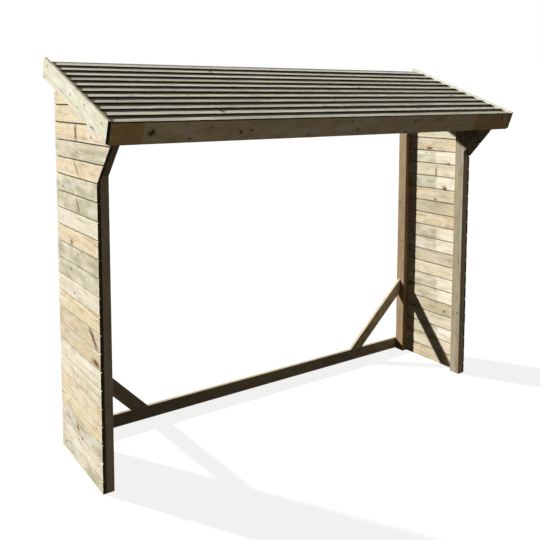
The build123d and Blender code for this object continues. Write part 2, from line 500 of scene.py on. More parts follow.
class Net:
    """Adds the nodes of one material, or of the world, and wires them up."""

    UNDER, OVER, MIXED = 6, 7, 2  # the places of a mix node's two colours and of its answer

    def __init__(self, owner: Material | bpy.types.World, kind: str = "Material") -> None:
        """Start with only the output.

        Args:
            owner: The material or the world.
            kind: Which of the two it is, as Blender names it.
        """
        owner.use_nodes = True
        self.owner = owner
        self.tree = owner.node_tree
        self.tree.nodes.clear()
        self.output = self.tree.nodes.new(f"ShaderNodeOutput{kind}")

    def add(
        self,
        kind: str,
        *feeds: Feed,
        named: dict[int | str, Feed] | None = None,
        output: int | str = 0,
        **options: str,
    ) -> Value:
        """Add a node.

        Args:
            kind: Its type, without the start that all types share.
            feeds: What goes into its inputs, in order.
            named: What goes into its inputs by their names or places.
            output: Which of its outputs is taken.
            options: Its own settings.

        Returns:
            The output that is taken.
        """
        node = self.tree.nodes.new(f"ShaderNode{kind}")
        for name, option in options.items():
            setattr(node, name, option)
        for place, value in (dict(enumerate(feeds)) | (named or {})).items():
            socket = node.inputs[place]
            if isinstance(value, Value):
                self.tree.links.new(value.socket, socket)
            elif socket.type == "RGBA":
                socket.default_value = (*value, 1.0)
            else:
                socket.default_value = value
        return Value(self, node.outputs[output])

    def read(self, name: str, output: str = "Vector") -> Value:
        """One output of an attribute on the mesh."""
        return self.add("Attribute", output=output, attribute_name=name)

    def merge(self, *parts: Feed) -> Value:
        """A vector made of three numbers."""
        return self.add("CombineXYZ", *parts)

    def blend(self, share: Feed, first: Feed, second: Feed, how: str = "MIX") -> Value:
        """A share of the second colour laid over the first, in the way that Blender names."""
        colours = {self.UNDER: first, self.OVER: second}
        return self.add("Mix", share, named=colours, output=self.MIXED, data_type="RGBA", blend_type=how)

    def finish(self, surface: Value) -> Material | bpy.types.World:
        """Wire a shader to the output, and hand over the material or the world."""
        self.tree.links.new(surface.socket, self.output.inputs["Surface"])
        return self.owner


@dataclass(frozen=True)
class Pattern:
    """A cloudy pattern whose level goes from 0 to 1."""

    stretch: Triple  # how often it changes along each axis, per metre
    detail: float = 2.0  # how many finer layers it has
    low: float = 0.0  # the level at which what it places starts to show
    high: float = 1.0  # the level at which that shows in full
    roughness: float = 0.55  # how strong its finer layers are

    def level(self, place: Value) -> Value:
        """The pattern's level at a place."""
        settings = {"Scale": 1.0, "Detail": self.detail, "Roughness": self.roughness}
        return place.net.add("TexNoise", named={"Vector": place * self.stretch, **settings})

    def share(self, place: Value) -> Value:
        """How much of what it places shows there."""
        return self.level(place).step(self.low, self.high)


@dataclass(frozen=True)
class Finish:
    """Treated softwood as one kind of timber shows it."""

    name: str
    cream: Colour  # the plain colour of the wood
    peach: Colour  # the warmer colour of its heartwood
    moss: Colour  # the green-grey of its treatment
    ring: Colour = (0.56, 0.40, 0.26)  # what the dark side of a growth ring multiplies the colour by
    streak: Colour = (0.34, 0.22, 0.12)  # the brown of its long streaks
    knot: Colour = (0.09, 0.045, 0.025)  # the heart of a knot
    end: Colour = (0.035, 0.027, 0.020)  # its end grain: its own darker colour, deepened to near black by painted shade
    damp: Colour = (0.10, 0.10, 0.11)  # what painted shade multiplies the colour by
    stain: Colour = (0.42, 0.33, 0.22)  # what its stains multiply the colour by
    ring_spacing: float = 0.0046  # how far apart the growth rings are
    ring_strength: float = 0.5  # how clearly they show
    streak_strength: float = 0.35  # how clearly the brown streaks show
    streak_start: float = 0.56  # the level of the streaks' pattern at which they start
    knot_share: float = 0.4  # the share of cells with a random knot
    spike: float = 3.0  # how much taller than round a sliced knot gets
    halo: float = 0.5  # how dark the wood round a knot is
    speckle: float = 0.4  # how clearly fine specks of old dirt show
    bleach: float = 0.4  # how clearly patches that the sun has bleached show
    mottle: Triple = (5.0, 16.0, 16.0)  # how often moss and bleach change along each axis
    saw_marks: float = 0.3  # how deep they are, against the grain's own relief
    relief: float = 0.0006  # the depth of the surface's relief
    roughness: float = 0.72
    gloss: float = 0.1  # how much of a sheen the dry wood keeps
    depth: float = 0.45  # how dark a deep tone gets
    knots: tuple[Knot, ...] = ()  # knots whose places are known
    brown_ends: Pair = (-WHOLE, WHOLE)  # between these places along the grain it isn't browned
    outer_shade_line: float = WHOLE  # how far below its centre line a board's lip ends, where painted shade lines its lower edge
    inner_shade_line: float = WHOLE  # the same for its inner face, which takes painted shade there too
    lap: Pair = (WHOLE, 0.0)  # where across a slat the painted shade under a lap starts, and how dark it is

    PLACE_SHIFT = (23.0, 11.0, 7.0)  # how far the three seeds move a timber's patterns
    CELL_SHIFT = (31.0, 17.0, 9.0)  # the same for its random knots
    CELL = (0.26, 0.07, 1.0)  # the room that each random knot has
    KNOT_SIZE = 0.021  # how fast a random knot's reach grows with its chance
    KNOT_LEAST = 0.0002  # the least reach of a random knot
    FLAT = (1.0, 1.0, 0.0)  # leaves out the depth through the timber
    WAVE = (24.0, 40.0, 1.0)  # how often the swirl that makes knots wavy changes
    WAVE_REACH = (0.040, 0.018, 0.0)  # how far the swirl shifts a place
    SLICED = (0.8, 0.95)  # the chance above which a knot is sliced lengthwise
    RAGGED = Pattern((90.0, 90.0, 90.0))  # the pattern of a knot's ragged edge
    RAGGED_REACH = 0.7  # how ragged a knot's edge is, in its own reach
    HEART_EDGE = (0.7, 1.15)  # from where to where the heart of a knot fades
    HALO_EDGE = (0.9, 2.6)  # the same for the dark wood round it
    BULGE_EDGE = (0.6, 4.5)  # the same for the rings that it pushes
    BULGE = 0.010  # how far a knot pushes the rings
    WANDER = Pattern((1.7, 9.0, 9.0))  # how the rings wander along a timber
    WANDER_REACH = 0.05  # how far they wander
    PITH_ACROSS = 0.09  # how far to the side the pith may be
    PITH_THROUGH = 0.05  # how much deeper than the least it may be
    PITH_LEAST = 0.014  # how deep under the face the pith is at the least
    PITH_TILT = 0.03  # how far a timber may lie out of line with the pith
    RING_RISE = (0.35, 0.9)  # within one ring, from where to where it darkens
    RING_FALL = (0.93, 1.0)  # from where to where it pales again
    RING_CLARITY = Pattern((0.43, 1.0, 1.0), 1.0, 0.25, 0.7)  # from ring to ring
    FIBRE = Pattern((9.0, 520.0, 520.0), 3.0, 0.45, 0.8)
    FIBRE_STRENGTH = 0.35
    BLOTCH = Pattern((11.0, 30.0, 30.0), 4.0, 0.46, 0.72)
    BLOTCH_STRENGTH = 0.34
    SPECK = Pattern((150.0, 260.0, 260.0), 3.0, 0.60, 0.76)
    SPECK_COLOUR = (0.30, 0.30, 0.25)
    STREAKS = ((1.3, 34.0, 34.0), 3.0)  # how often they change, and their detail
    STREAK_FULL = 0.78  # the level of their pattern at which they show in full
    MOSSY = (4.0, 0.34, 0.60)  # the moss's detail, and from which level to which it fades in
    SUNNED = (3.0, 0.5, 0.66)  # the same for the bleach
    MOSS_EDGE = 0.008  # over what length the moss ends
    BLEACH_SHIFT = (5.0, 3.0, 1.0)  # keeps the bleach from following the moss
    BLEACHED = (0.94, 0.92, 0.84)
    BROWNED = (0.80, 0.66, 0.46)
    BROWN_EDGE = 0.012  # over what length a browned end begins
    END_RINGS = 0.6  # how clearly rings show in the end grain
    HALF_BOARD = 0.0075  # deeper than this is nearer to a board's inner face
    JOINT_SHADE = 0.8  # how much of the painted shade's colour the joints take
    JOINT_SHADE_EDGE = (0.0014, 0.0035)  # above the lower edge, from where to where the joints' painted shade fades
    LAP_SHADE_EDGE = (-0.004, 0.003)  # from where to where the painted shade under a lap begins
    SAWN = Pattern((420.0, 9.0, 9.0), 1.0)  # the marks of the saw
    FIBRE_RELIEF = 0.6  # the share of the relief that the fibres make
    RING_RELIEF = 0.4  # the share that the rings make
    KNOT_RELIEF = -0.5  # how far a knot lies lower
    FIBRE_ROUGHNESS = 0.16  # how much rougher the fibres make the wood

    @staticmethod
    def far_from(away: Value, lean: Feed, size: Feed) -> Value:
        """How far a place measured from a knot is from it, in the knot's own reach."""
        along, across, _ = away.parts()
        return (away.net.merge(along - across * lean, across, 0.0) / size).maths("LENGTH")

    def knot_field(self, grain: Value, seed: Value) -> Value:
        """How far each place is from the nearest knot, in that knot's own reach.

        Args:
            grain: The place along, across and through the timber.
            seed: The timber's three random numbers.

        Returns:
            A number below 1 inside a knot.
        """
        net = grain.net
        cloud = net.add("TexNoise", named={"Vector": grain * self.WAVE, "Scale": 1.0}, output=1)
        swirl = (cloud - (MIDDLE,) * 3) * self.WAVE_REACH
        flat = (grain + swirl) * self.FLAT
        shifted = seed * self.CELL_SHIFT + flat / self.CELL
        cells = net.add("TexVoronoi", named={"Vector": shifted, "Scale": 1.0})
        chance, shape, turn = cells.beside("Color").parts()
        size = (chance - (1.0 - self.knot_share)) * self.KNOT_SIZE
        size = size.maths("MAXIMUM", self.KNOT_LEAST)
        tall = shape.step(*self.SLICED) * self.spike + 1.0
        away = (shifted - cells.beside("Position")) * self.CELL
        nearest = self.far_from(away, turn - MIDDLE, net.merge(size, size * tall, 1.0))
        along, across, lean = net.read("knot").parts()
        away = flat - net.merge(along, across, 0.0)
        nearest = nearest.maths("MINIMUM", self.far_from(away, lean, net.read("knot_reach")))
        for knot in self.knots:
            away = flat - (knot.along, knot.across, 0.0)
            found = self.far_from(away, knot.lean, (knot.reach, knot.height, 1.0))
            nearest = nearest.maths("MINIMUM", found)
        return nearest

    def rings(self, grain: Value, seed: Value, place: Value, bulge: Value) -> Value:
        """How dark the growth rings are at each place.

        Args:
            grain: The place along, across and through the timber.
            seed: The timber's three random numbers.
            place: Where patterns are read.
            bulge: How much a knot pushes the rings.

        Returns:
            A number from 0 between rings to 1 on a dark one.
        """
        net = grain.net
        along, across, through = grain.parts()
        first, second, third = seed.parts()
        wander = (self.WANDER.level(place) - MIDDLE) * self.WANDER_REACH
        from_pith = net.merge(
            across - (second - MIDDLE) * self.PITH_ACROSS + wander,
            through + (third * self.PITH_THROUGH + self.PITH_LEAST),
            0.0,
        )
        radius = along * ((first - MIDDLE) * self.PITH_TILT) + from_pith.maths("LENGTH")
        count = (bulge * self.BULGE + radius) / self.ring_spacing
        phase = count.maths("FRACT")
        dark = phase.step(*self.RING_RISE) * (1.0 - phase.step(*self.RING_FALL))
        return dark * self.RING_CLARITY.share(net.merge(count, 0.0, 0.0))

    def joint_shade(self, across: Value, through: Value) -> Value:
        """How much painted shade a board takes along the lower edge of its lip and of its inner face, where
        the joints' shade falls.

        Args:
            across: The place across the board.
            through: The place through its thickness.

        Returns:
            A share from 0 up to the joints' full painted shade.
        """
        inner = through.maths("ABSOLUTE").maths("GREATER_THAN", self.HALF_BOARD)
        above = across - (inner * (self.outer_shade_line - self.inner_shade_line) - self.outer_shade_line)
        return (1.0 - above.step(*self.JOINT_SHADE_EDGE)) * self.JOINT_SHADE

    def material(self) -> Material:
        """Build the material.

        Returns:
            A node material that reads the marks that Bench.mark writes.
        """
        net = Net(bpy.data.materials.new(self.name))
        grain, seed = net.read("grain"), net.read("board")
        peach, moss, depth = net.read("tone").parts()
        along, across, through = grain.parts()
        place = seed * self.PLACE_SHIFT + grain

        ragged = self.RAGGED.level(place) * self.RAGGED_REACH - self.RAGGED_REACH * MIDDLE
        knot = self.knot_field(grain, seed) + ragged
        heart, halo, bulge = (
            1.0 - knot.step(*edge) for edge in (self.HEART_EDGE, self.HALO_EDGE, self.BULGE_EDGE)
        )
        line = self.rings(grain, seed, place, bulge)
        fibre = self.FIBRE.level(place)

        past_moss = along - net.read("knot_reach").parts()[2]
        covered = 1.0 - past_moss.step(0.0, self.MOSS_EDGE)
        mossy = Pattern(self.mottle, *self.MOSSY).share(place)
        bleached = Pattern(self.mottle, *self.SUNNED).share(place + self.BLEACH_SHIFT)
        streaks = Pattern(*self.STREAKS, self.streak_start, self.STREAK_FULL).share(place)
        low, high = self.brown_ends
        browned = along.step(low + self.BROWN_EDGE, low)
        browned = browned.maths("MAXIMUM", along.step(high, high + self.BROWN_EDGE))
        # Painted shade on each slat's tread just behind the lip of the slat above, where that lip's shadow
        # falls.
        lap_shade_start, lap_shade = self.lap
        shade_under_lap = across.step(*(lap_shade_start + edge for edge in self.LAP_SHADE_EDGE))

        layers = (
            (peach, self.peach, "MIX"),
            (moss * covered * mossy, self.moss, "MIX"),
            (bleached * self.bleach, self.BLEACHED, "SCREEN"),
            (
                self.BLOTCH.share(place) * self.BLOTCH_STRENGTH + depth * covered * self.depth,
                self.stain,
                "MULTIPLY",
            ),
            (line * self.ring_strength, self.ring, "MULTIPLY"),
            (fibre.step(self.FIBRE.low, self.FIBRE.high) * self.FIBRE_STRENGTH, self.ring, "MULTIPLY"),
            (self.SPECK.share(place) * self.speckle, self.SPECK_COLOUR, "MULTIPLY"),
            (streaks * self.streak_strength, self.streak, "MIX"),
            (browned, self.BROWNED, "MULTIPLY"),
            (halo * self.halo, self.streak, "MIX"),
            (heart, self.knot, "MIX"),
            # End grain: its own darker colour, deepened to near black by painted shade.
            (
                net.read("end", "Fac"),
                net.blend(line * self.END_RINGS, self.end, self.ring, "MULTIPLY"),
                "MIX",
            ),
            # Painted shade along the wall boards' joints, under each slat's lap, and on the faces that each
            # piece marks; on the fascia's front the marked darkening grows towards its right end.
            (self.joint_shade(across, through), self.damp, "MULTIPLY"),
            (shade_under_lap * lap_shade, self.damp, "MULTIPLY"),
            (net.read("damp", "Fac"), self.damp, "MULTIPLY"),
        )
        colour = self.cream
        for share, over, how in layers:
            colour = net.blend(share, colour, over, how)

        height = fibre * self.FIBRE_RELIEF + line * self.RING_RELIEF
        height = height + self.SAWN.level(place) * self.saw_marks + heart * self.KNOT_RELIEF
        bump = net.add("Bump", named={"Distance": self.relief, "Height": height})
        rough = fibre * self.FIBRE_ROUGHNESS + (self.roughness - self.FIBRE_ROUGHNESS * MIDDLE)
        surface = {
            "Base Color": colour,
            "Roughness": rough,
            "Normal": bump,
            "Specular IOR Level": self.gloss,
        }
        return net.finish(net.add("BsdfPrincipled", named=surface))


@dataclass(frozen=True)
class Zinc:
    """The dulled zinc of the nail heads, stained in patches."""

    name: str = "dulled zinc"
    pale: Colour = (0.17, 0.16, 0.145)
    stained: Colour = (0.08, 0.06, 0.045)
    patches: Pattern = Pattern((160.0, 160.0, 160.0), 3.0, 0.35, 0.7)
    roughness: float = 0.5
    stain_roughness: float = 0.3
    metallic: float = 0.4

    def material(self) -> Material:
        """Build the material.

        Returns:
            A node material that reads the place on the piece.
        """
        net = Net(bpy.data.materials.new(self.name))
        stain = self.patches.share(net.add("TexCoord", output="Object"))
        surface = {
            "Base Color": net.blend(stain, self.pale, self.stained),
            "Roughness": stain * self.stain_roughness + self.roughness,
            "Metallic": self.metallic,
        }
        return net.finish(net.add("BsdfPrincipled", named=surface))


@dataclass(frozen=True)
class Slope:
    """The line of the roof in the side view."""

    pitch: float = 19.7  # its fall towards the front, in degrees
    back_y: float = 0.3775  # the depth of its highest corner
    back_z: float = 1.972  # the level of its highest corner
    length: float = 0.84973  # how far it runs down the slope

    @property
    def angle(self) -> float:
        """The pitch in radians."""
        return math.radians(self.pitch)

    @property
    def down(self) -> Vector:
        """The direction down the slope."""
        return Vector((0.0, -math.cos(self.angle), -math.sin(self.angle)))

    @property
    def up(self) -> Vector:
        """The direction square to the slope."""
        return Vector((0.0, -math.sin(self.angle), math.cos(self.angle)))

    def point(self, along: float, height: float) -> Vector:
        """A point so far down the slope and so far above it."""
        return Vector((0.0, self.back_y, self.back_z)) + self.down * along + self.up * height

    def level(self, y: float, height: float) -> float:
        """The level, at one depth, of a plane parallel to the roof."""
        return self.back_z + height / math.cos(self.angle) + (y - self.back_y) * math.tan(self.angle)

    def lay(self, timber: Timber) -> None:
        """Turn a timber that was shaped level to lie along the roof.

        Args:
            timber: The timber.
        """
        timber.rotation_euler = (self.angle, 0.0, 0.0)
        timber.location = (0.0, self.back_y, self.back_z)
        Bench.settle(timber)

    def trim(self, timber: Timber, height: float) -> None:
        """Saw a timber off along a plane parallel to the roof."""
        Bench.cut(timber, self.point(0.0, height), self.up)


@dataclass(frozen=True)
class Section:
    """Where the walls, the posts and the roof stand."""

    half_span: float = 1.225  # from the middle of the store to the outer face of a wall
    front: float = -0.1535  # the depth of the front faces of the posts
    back: float = 0.4005  # the depth of the back faces of the posts
    board_thickness: float = 0.015
    post_width: float = 0.040
    post_depth: float = 0.068
    lean_foot: float = 1.4040  # the level at which the wall's front starts to slant
    lean_head_y: float = -0.3971  # the depth at which the slant meets the roof
    lean_head_z: float = 1.6714  # the level at which it does
    head_level: float = 1.9439  # the level at which what stands behind the slats is cut off
    slat_underside: float = -0.022  # the height of the slats' underside, below the roof's line
    rafter_underside: float = -0.092  # the height of the rafters' underside
    barge_inner: float = 1.263  # from the middle of the store to the inside of a bargeboard

    @property
    def post_outer(self) -> float:
        """From the middle of the store to the outer face of a post."""
        return self.half_span - self.board_thickness

    @property
    def post_inner(self) -> float:
        """From the middle of the store to the inner face of a post."""
        return self.post_outer - self.post_width

    @property
    def lean_rise(self) -> float:
        """How far the slant climbs for each metre that it comes forward."""
        return (self.lean_head_z - self.lean_foot) / (self.front - self.lean_head_y)

    @property
    def lean_facing(self) -> Vector:
        """The direction that the slanting front faces."""
        return Vector((0.0, -self.lean_rise, -1.0)).normalized()

    def post_edges(self, side: Side) -> Pair:
        """The two sides of the posts at one end."""
        return edges_of(side.value * self.post_inner, side.value * self.post_outer)


def stand_in(timbers: Sequence[Timber], node: str, slot: str, material: Material) -> None:
    """Make one piece of timbers and let it stand for its node of the frame.

    Args:
        timbers: What the piece is made of.
        node: The node's name.
        slot: The name of the slot that its finish belongs to; it is not used.
        material: Its finish.
    """
    piece = Bench.join(f"dressed_{node}", timbers, material)
    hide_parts(node)


@dataclass
class Walls:
    """The two end walls of rebated boards."""

    section: Section
    slope: Slope
    material: Material
    pitch: float = 0.084  # the showing height of a board
    first_joint: float = 0.062  # the level of the middle of the lowest joint
    count: int = 24
    lip: float = 0.007  # the thickness of the lip that hangs over each joint
    rebate: float = 0.016  # the height of the lip, and of the tongue behind it
    gap: float = 0.005  # the height of the open joint
    clearance: float = 0.0005  # the play between a lip and the tongue behind it
    easing: float = 0.0009
    ragged: float = 0.0016  # how far the ends of the boards may stand back
    chance: random.Random = stream(seed=11)

    def base(self, number: int) -> float:
        """The level of the joint under a board, of which the second has the lowest."""
        return self.first_joint + self.pitch * (number - 2)

    def pattern(self, side: Side) -> Timber:
        """Shape one full board with its lip and its tongue.

        Args:
            side: The wall that it is for.

        Returns:
            A long board, with the middles of its two joints at level 0 and at the pitch.
        """
        sign = side.value
        outer = sign * self.section.half_span
        lip = outer - sign * self.lip
        tongue = lip - sign * self.clearance
        inner = sign * self.section.post_outer
        foot = self.gap / 2
        top = self.pitch - self.gap / 2
        shoulder = foot + self.rebate
        near, far = edges_of(lip, outer)
        board = Bench.block(
            f"{side.label}_pattern",
            (near, self.section.lean_head_y, foot),
            (far, self.section.back, top),
        )
        Bench.score(board, ALONG_Z * shoulder, ALONG_Z)
        Bench.pull(
            board,
            lambda at, facing: facing.x * sign < -FACING and at.z > shoulder,
            ALONG_X * (inner - lip),
        )
        Bench.score(board, ALONG_X * tongue, ALONG_X)
        Bench.pull(
            board,
            lambda at, facing: facing.z > FACING and at.z > shoulder + TOUCH and (tongue - at.x) * sign > 0,
            ALONG_Z * self.rebate,
        )
        Bench.clean(board)
        return board

    def saw(self, board: Timber, base: float) -> None:
        """Cut one board to the outline of the wall, its ends a little ragged.

        Args:
            board: The board in its place.
            base: The level of the joint under it.
        """
        section = self.section
        if base < 0.0:
            Bench.cut(board, ORIGIN, -ALONG_Z)
        back_cut = section.back - self.chance.random() * self.ragged
        front_cut = self.chance.random() * self.ragged
        Bench.cut(board, ALONG_Y * back_cut, ALONG_Y)
        if base + self.gap < section.lean_foot:
            Bench.cut(board, ALONG_Y * (section.front + front_cut), -ALONG_Y)
        else:
            foot = Vector((0.0, section.front, section.lean_foot))
            Bench.cut(board, foot - section.lean_facing * front_cut, section.lean_facing)
            self.slope.trim(board, section.slat_underside)
            Bench.cut(board, ALONG_Z * section.head_level, ALONG_Z)
        Bench.clean(board)
        Bench.ease(board, self.easing)

    def board(self, pattern: Timber, side: Side, number: int) -> Timber:
        """Make one board from the pattern.

        Args:
            pattern: The full board.
            side: The wall that it is for.
            number: Its place, counted from the ground.

        Returns:
            The board in its place, with its marks and painted shade under its lip and in its open joint.
        """
        section, base = self.section, self.base(number)
        board = Bench.copy(pattern, f"{side.label}_board_{number}", ALONG_Z * base)
        self.saw(board, base)
        middle = Vector((side.value * section.half_span, section.back, base + self.pitch / 2))
        tone = Tone[WALL_TONES[side][number - 1]]
        knot = WALL_KNOTS[side].get(number, CLEAR)
        moss_reach = RIGHT_MOSS.get(number, WHOLE) if side is Side.RIGHT else WHOLE
        Bench.mark(
            board,
            Grain(-ALONG_Y, ALONG_Z, middle),
            Character.draw(self.chance, tone, knot, moss_reach),
        )
        # Painted shade on the underside of each lip and on the tongue that shows in the open joint.
        over = base + self.pitch - self.gap / 2 + TOUCH
        lip = section.half_span - self.lip
        Bench.paint(
            board,
            "damp",
            lambda at, facing: facing.z < -END_FACING
            or (facing.x * side.value > FACING and at.z > over and abs(at.x) < lip),
        )
        return board

    def build(self) -> None:
        """Build both walls, a third of the boards to a piece."""
        third = self.count // 3
        for side in Side:
            pattern = self.pattern(side)
            boards = [self.board(pattern, side, number) for number in range(1, self.count + 1)]
            Bench.discard(pattern)
            for index, part in enumerate(("lower", "middle", "upper")):
                group = boards[index * third : (index + 1) * third]
                stand_in(group, f"{side.label}_wall_{part}_boards", "wall_boards", self.material)


@dataclass
class Posts:
    """The four posts and the two brackets that carry the roof's overhang."""

    section: Section
    slope: Slope
    material: Material
    setback: float = 0.032  # how far above the start of the slant a bracket starts
    bracket_width: float = 0.070
    easing: float = 0.0022
    chance: random.Random = stream(seed=23)

    def post(self, side: Side, name: str, front: float, tone: Tone) -> None:
        """Shape one post, its head cut to the roof.

        Args:
            side: The end of the store.
            name: The rest of its node's name.
            front: The depth of its front face.
            tone: How it has taken its treatment.
        """
        near, far = self.section.post_edges(side)
        back = front + self.section.post_depth
        node = f"{side.label}_{name}"
        post = Bench.block(f"dressed_{node}", (near, front, 0.0), (far, back, self.slope.back_z))
        self.slope.trim(post, self.section.slat_underside)
        Bench.cut(post, ALONG_Z * self.section.head_level, ALONG_Z)
        Bench.ease(post, self.easing)
        middle = Vector(((near + far) / 2, (front + back) / 2, self.slope.back_z / 2))
        knot = POST_KNOT if node == "right_front_post" else CLEAR
        Bench.mark(post, Grain(ALONG_Z, ALONG_Y, middle), Character.draw(self.chance, tone, knot))
        stand_in([post], node, "frame_timber", self.material)

    def bracket(self, side: Side) -> None:
        """Shape one leaning bracket, planted on the face of its post.

        Args:
            side: The end of the store.
        """
        section = self.section
        near, far = section.post_edges(side)
        foot = section.lean_foot + self.setback
        shoulder = foot + self.bracket_width * math.hypot(1.0, section.lean_rise)
        node = f"{side.label}_front_bracket"
        front = self.slope.point(self.slope.length, 0.0).y
        top = (far, section.front, self.slope.back_z)
        bracket = Bench.block(f"dressed_{node}", (near, front, foot), top)
        self.slope.trim(bracket, section.slat_underside)
        Bench.cut(bracket, (0.0, section.front, foot), section.lean_facing)
        Bench.cut(bracket, (0.0, section.front, shoulder), -section.lean_facing)
        Bench.ease(bracket, self.easing)
        along = ALONG_X.cross(section.lean_facing)
        middle = Vector(((near + far) / 2, section.front, (foot + shoulder) / 2))
        tone, knot = (Tone.CREAM, BRACKET_KNOT) if side is Side.RIGHT else (Tone.TAN, CLEAR)
        Bench.mark(bracket, Grain(along, ALONG_X, middle), Character.draw(self.chance, tone, knot))
        stand_in([bracket], node, "frame_timber", self.material)

    def build(self) -> None:
        """Build every post and bracket."""
        for side in Side:
            self.post(side, "front_post", self.section.front, Tone.MOSS)
            self.post(side, "back_post", self.section.back - self.section.post_depth, Tone.TAN)
            self.bracket(side)


@dataclass
class Roof:
    """The slats, the boards that close the roof's edges, and the timbers under it."""

    section: Section
    slope: Slope
    slats: Material
    barges: Material
    fascia: Material
    framing: Material
    count: int = 11
    setback: float = 0.022  # how far the first slat is from the back of the roof
    lip_thickness: float = 0.017  # the thickness of a slat at its front edge
    tail_thickness: float = 0.0085  # its thickness at its back
    lap: float = 0.012  # how far a lip laps over the next slat
    clearance: float = 0.0005  # the play between timbers
    barge_width: float = 0.100
    barge_thickness: float = 0.0132  # less the height of a nail head
    fascia_drop: float = 0.010  # how far below the roof's line the fascia's top is
    fascia_width: float = 0.096
    fascia_thickness: float = 0.016
    fascia_darkening: float = 0.20  # how much darker the middle of its front is painted; it darkens more towards the right end
    # How dark the painted shade on its top and bottom edges is.
    fascia_edge_shade: float = 0.85
    rafter_width: float = 0.038
    rafter_count: int = 4
    trimmer_thickness: float = 0.022
    header_height: float = 0.070  # of the bearer between the front posts
    rail_height: float = 0.095  # of the bearer between the back posts
    bearer_thickness: float = 0.040
    stations: int = 14  # how many lengths a slat may bend in
    wave: float = 0.0006  # how far a slat strays from straight
    wave_count: int = 2  # how many waves add up to its wander
    wave_rates: Pair = (1.5, 3.0)  # how fast each may turn, in radians per metre
    easing: float = 0.0012
    chance: random.Random = stream(seed=37)

    @property
    def fascia_back(self) -> float:
        """How far down the slope the back of the fascia is."""
        return self.slope.length - self.fascia_thickness

    @property
    def slat_pitch(self) -> float:
        """How far apart the slats start."""
        return (self.fascia_back - self.setback) / self.count

    @property
    def rafter_places(self) -> list[float]:
        """The middle of each rafter, from left to right."""
        reach = self.section.post_inner - self.rafter_width / 2
        return [index * 2 * reach / (self.rafter_count - 1) - reach for index in range(self.rafter_count)]

    def slat_pattern(self, lip_under: float) -> Timber:
        """Shape one slat level, with its lip and its tapering tread.

        Args:
            lip_under: The height of the underside of its lip.

        Returns:
            A slat that starts at the origin and runs forwards.
        """
        base = self.section.slat_underside
        reach = self.section.barge_inner - self.clearance
        front = self.slat_pitch - self.clearance
        slat = Bench.block("slat_pattern", (-reach, -front, base), (reach, 0.0, base + self.lip_thickness))
        Bench.score(slat, ALONG_Z * lip_under, ALONG_Z)
        Bench.pull(
            slat,
            lambda at, facing: facing.y < -FACING and at.z > lip_under,
            ALONG_Y * -self.lap,
        )
        run = Vector((0.0, -front, self.lip_thickness - self.tail_thickness))
        Bench.cut(slat, (0.0, -self.lap, base + self.tail_thickness), run.cross(ALONG_X))
        return slat

    def stray(self, slat: Timber) -> None:
        """Let a slat wander a little from straight along its length.

        Args:
            slat: The slat.
        """
        reach = self.section.barge_inner
        for index in range(1, self.stations):
            Bench.score(slat, ALONG_X * (2 * reach * index / self.stations - reach), ALONG_X)
        turns = [
            (self.chance.uniform(*self.wave_rates), self.chance.uniform(0.0, math.tau))
            for _ in range(self.wave_count)
        ]
        for point in slat.data.vertices:
            swing = sum(math.sin(rate * point.co.x + start) for rate, start in turns) / len(turns)
            point.co.z += self.wave * swing

    def build_slats(self) -> None:
        """Copy the pattern to each place, the last one lapping on to the fascia."""
        full = self.slat_pattern(self.section.slat_underside + self.tail_thickness + self.clearance)
        last = self.slat_pattern(self.clearance - self.fascia_drop)
        for number, tone in enumerate(SLAT_TONES, start=1):
            start = self.setback + (number - 1) * self.slat_pitch
            node = f"roof_slat_{number:02d}"
            pattern = last if number == self.count else full
            slat = Bench.copy(pattern, f"dressed_{node}", ALONG_Y * -start)
            self.stray(slat)
            Bench.ease(slat, self.easing)
            middle = Vector((0.0, -start - self.slat_pitch / 2, self.section.slat_underside))
            Bench.mark(slat, Grain(ALONG_X, ALONG_Y, middle), Character.draw(self.chance, Tone[tone]))
            # Painted shade on the front faces of the lips.
            Bench.paint(slat, "damp", lambda at, facing: facing.y < -FACING)
            self.slope.lay(slat)
            stand_in([slat], node, "roof_slats", self.slats)
        Bench.discard(full, last)

    def plank(
        self,
        node: str,
        low: Place,
        high: Place,
        grain: Grain,
        finish: tuple[str, Material],
        tone: Tone = Tone.PLAIN,
        damp: Share = lambda at, facing: 0.0,
    ) -> None:
        """Shape one straight timber level and lay it on the slope.

        Args:
            node: The node that it stands for.
            low: Its lowest corner before it is laid.
            high: Its highest corner before it is laid.
            grain: The way that its grain runs.
            finish: The slot's name and its material.
            tone: How it has taken its treatment.
            damp: How much each place of it is painted darker. This is painted shade, except on the fascia's
                front, which only darkens towards its right end.
        """
        timber = Bench.block(f"dressed_{node}", low, high)
        Bench.ease(timber, self.easing)
        Bench.mark(timber, grain, Character.draw(self.chance, tone))
        Bench.paint(timber, "damp", damp)
        self.slope.lay(timber)
        stand_in([timber], node, *finish)

    def damp_on_fascia(self, at: Vector, facing: Vector) -> float:
        """How much darker the fascia is painted: painted shade on its top and bottom edges, and a front
        that darkens from its left end towards its right.

        Args:
            at: A point of it.
            facing: The normal of the face there.

        Returns:
            A share from 0 to 1.
        """
        if abs(facing.z) > FACING:
            return self.fascia_edge_shade
        return self.fascia_darkening * (1.0 + at.x / self.section.barge_inner)

    def build_edges(self) -> None:
        """Close the roof with its bargeboards and its fascia."""
        inner, length = self.section.barge_inner, self.slope.length
        for side in Side:
            outer = side.value * (inner + self.barge_thickness)
            near, far = edges_of(side.value * inner, outer)
            self.plank(
                f"{side.label}_bargeboard",
                (near, -length, -self.barge_width),
                (far, 0.0, 0.0),
                Grain(-ALONG_Y, ALONG_Z, Vector((outer, 0.0, -self.barge_width / 2))),
                ("bargeboards", self.barges),
                Tone.PALE,
                # Painted shade on the front end.
                lambda at, facing: facing.y < -FACING,
            )
        top = -self.fascia_drop
        self.plank(
            "front_fascia",
            (-inner, -length, top - self.fascia_width),
            (inner, -self.fascia_back, top),
            Grain(ALONG_X, ALONG_Z, Vector((0.0, -length, top - self.fascia_width / 2))),
            ("fascia", self.fascia),
            damp=self.damp_on_fascia,
        )

